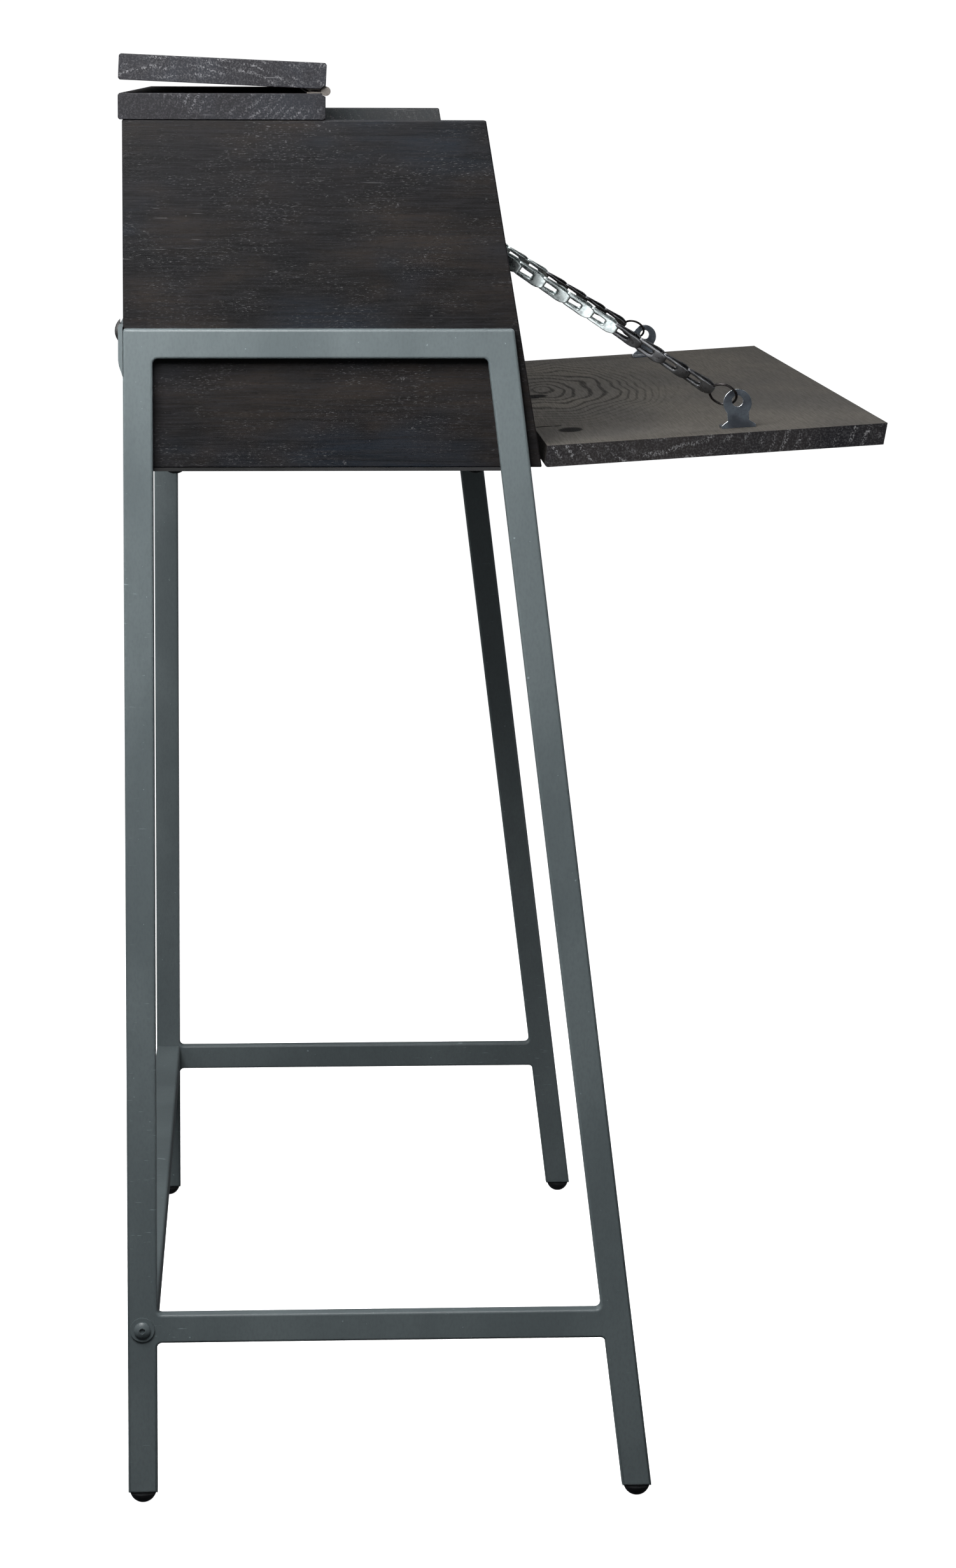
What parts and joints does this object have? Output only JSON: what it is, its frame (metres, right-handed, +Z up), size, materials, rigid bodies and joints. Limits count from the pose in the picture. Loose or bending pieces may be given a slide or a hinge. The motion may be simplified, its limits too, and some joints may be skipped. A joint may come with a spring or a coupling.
{
  "type": "drafting table",
  "caption": "Standing drafting desk: wooden case on a steel tube frame, with a fold-back top lid and a front leaf held by chains.",
  "frame": {"origin": "middle of the overall width and depth, on the floor plane under the feet", "axes": "+Z up, -Y towards the person at the front (leaf side), +X to that person's right when facing +Y"},
  "size_m": [0.985, 0.6616, 1.2536],
  "materials": {
    "frame_paint": "satin slate grey-green paint",
    "black_steel": "satin black",
    "zinc_steel": "bright zinc",
    "hinge_steel": "dull nickel",
    "gunmetal": "dull gunmetal",
    "chain_steel": "dark zinc with bright facets",
    "stained_wood": "near-black stain, fine grain, matt",
    "leaf_wood": "brown-grey stain, cathedral grain",
    "plastic_insert": "matt black"
  },
  "bodies": {
    "root": {"left_rear_leg": "frame_paint", "right_rear_leg": "frame_paint", "left_front_leg": "frame_paint", "right_front_leg": "frame_paint", "left_top_bar": "frame_paint", "right_top_bar": "frame_paint", "left_stretcher": "frame_paint", "right_stretcher": "frame_paint", "rear_lower_crossbar": "frame_paint", "rear_upper_bar": "frame_paint", "left_case_strap": "black_steel", "right_case_strap": "black_steel", "case_bolts": "black_steel", "case_washers": "black_steel", "rear_bar_bolts": "black_steel", "crossbar_end_plugs": "zinc_steel", "crossbar_bolts": "zinc_steel", "crossbar_washers": "zinc_steel", "leaf_hinge_screws": "zinc_steel", "case_hook_screws": "zinc_steel", "lid_hinge_fixed_plate": "hinge_steel", "lid_hinge_pin": "hinge_steel", "lid_hinge_fixed_screws": "hinge_steel", "leaf_hinge_arms": "gunmetal", "left_case_hook": "gunmetal", "right_case_hook": "gunmetal", "left_side_panel": "stained_wood", "right_side_panel": "stained_wood", "back_panel": "stained_wood", "bottom_panel": "stained_wood", "fixed_top_board": "stained_wood", "leg_inserts": "plastic_insert"},
    "lid": {"lid_board": "stained_wood", "lid_hinge_moving_plate": "hinge_steel", "lid_hinge_moving_screws": "hinge_steel"},
    "leaf": {"leaf_board": "leaf_wood", "leaf_hinge_pins": "zinc_steel", "left_leaf_tab": "gunmetal", "right_leaf_tab": "gunmetal", "leaf_tab_screws": "zinc_steel"},
    "left_rear_foot": {"left_rear_glide": "zinc_steel"},
    "left_front_foot": {"left_front_glide": "zinc_steel"},
    "left_lower_chain": {"left_ring": "gunmetal", "left_chain_lower": "chain_steel"},
    "left_middle_chain": {"left_chain_middle": "chain_steel"},
    "left_upper_chain": {"left_chain_upper": "chain_steel"},
    "right_rear_foot": {"right_rear_glide": "zinc_steel"},
    "right_front_foot": {"right_front_glide": "zinc_steel"},
    "right_lower_chain": {"right_ring": "gunmetal", "right_chain_lower": "chain_steel"},
    "right_middle_chain": {"right_chain_middle": "chain_steel"},
    "right_upper_chain": {"right_chain_upper": "chain_steel"}
  },
  "joints": [
    {"name": "lid_hinge", "type": "hinge", "parent": "root", "child": "lid", "pos_m": [0, 0.15048, 1.22215], "axis": [1, 0, 0], "range_deg": [0, 177.5]},
    {"name": "leaf_hinge", "type": "hinge", "parent": "root", "child": "leaf", "pos_m": [0, -0.04402, 0.91195], "axis": [-1, 0, 0], "range_deg": [0, 95.6]},
    {"name": "left_rear_foot_screw", "type": "slide", "parent": "root", "child": "left_rear_foot", "axis": [0, 0, -1], "range_m": [0, 0.01]},
    {"name": "left_front_foot_screw", "type": "slide", "parent": "root", "child": "left_front_foot", "axis": [0, 0, -1], "range_m": [0, 0.01]},
    {"name": "right_rear_foot_screw", "type": "slide", "parent": "root", "child": "right_rear_foot", "axis": [0, 0, -1], "range_m": [0, 0.01]},
    {"name": "right_front_foot_screw", "type": "slide", "parent": "root", "child": "right_front_foot", "axis": [0, 0, -1], "range_m": [0, 0.01]},
    {"name": "left_lower_chain_pivot", "type": "hinge", "parent": "leaf", "child": "left_lower_chain", "pos_m": [-0.43, -0.20452, 0.9568], "axis": [-1, 0, 0], "range_deg": [0, 18.96]},
    {"name": "left_middle_chain_pivot", "type": "hinge", "parent": "left_lower_chain", "child": "left_middle_chain", "pos_m": [-0.43, -0.09929, 1.01914], "axis": [-1, 0, 0], "range_deg": [-126.2, 0]},
    {"name": "left_upper_chain_pivot", "type": "hinge", "parent": "left_middle_chain", "child": "left_upper_chain", "pos_m": [-0.43, -0.07835, 1.03225], "axis": [-1, 0, 0], "range_deg": [-46.33, 0]},
    {"name": "right_lower_chain_pivot", "type": "hinge", "parent": "leaf", "child": "right_lower_chain", "pos_m": [0.43, -0.20452, 0.9568], "axis": [-1, 0, 0], "range_deg": [0, 18.96]},
    {"name": "right_middle_chain_pivot", "type": "hinge", "parent": "right_lower_chain", "child": "right_middle_chain", "pos_m": [0.43, -0.09929, 1.01914], "axis": [-1, 0, 0], "range_deg": [-126.2, 0]},
    {"name": "right_upper_chain_pivot", "type": "hinge", "parent": "right_middle_chain", "child": "right_upper_chain", "pos_m": [0.43, -0.07835, 1.03225], "axis": [-1, 0, 0], "range_deg": [-46.33, 0]}
  ],
  "couplings": [
    {"joint": "left_lower_chain_pivot", "follows": "leaf_hinge", "ratio": 0.1978},
    {"joint": "left_middle_chain_pivot", "follows": "leaf_hinge", "ratio": -1.3195},
    {"joint": "left_upper_chain_pivot", "follows": "leaf_hinge", "ratio": -0.48411},
    {"joint": "right_lower_chain_pivot", "follows": "leaf_hinge", "ratio": 0.1978},
    {"joint": "right_middle_chain_pivot", "follows": "leaf_hinge", "ratio": -1.3195},
    {"joint": "right_upper_chain_pivot", "follows": "leaf_hinge", "ratio": -0.48411}
  ]
}
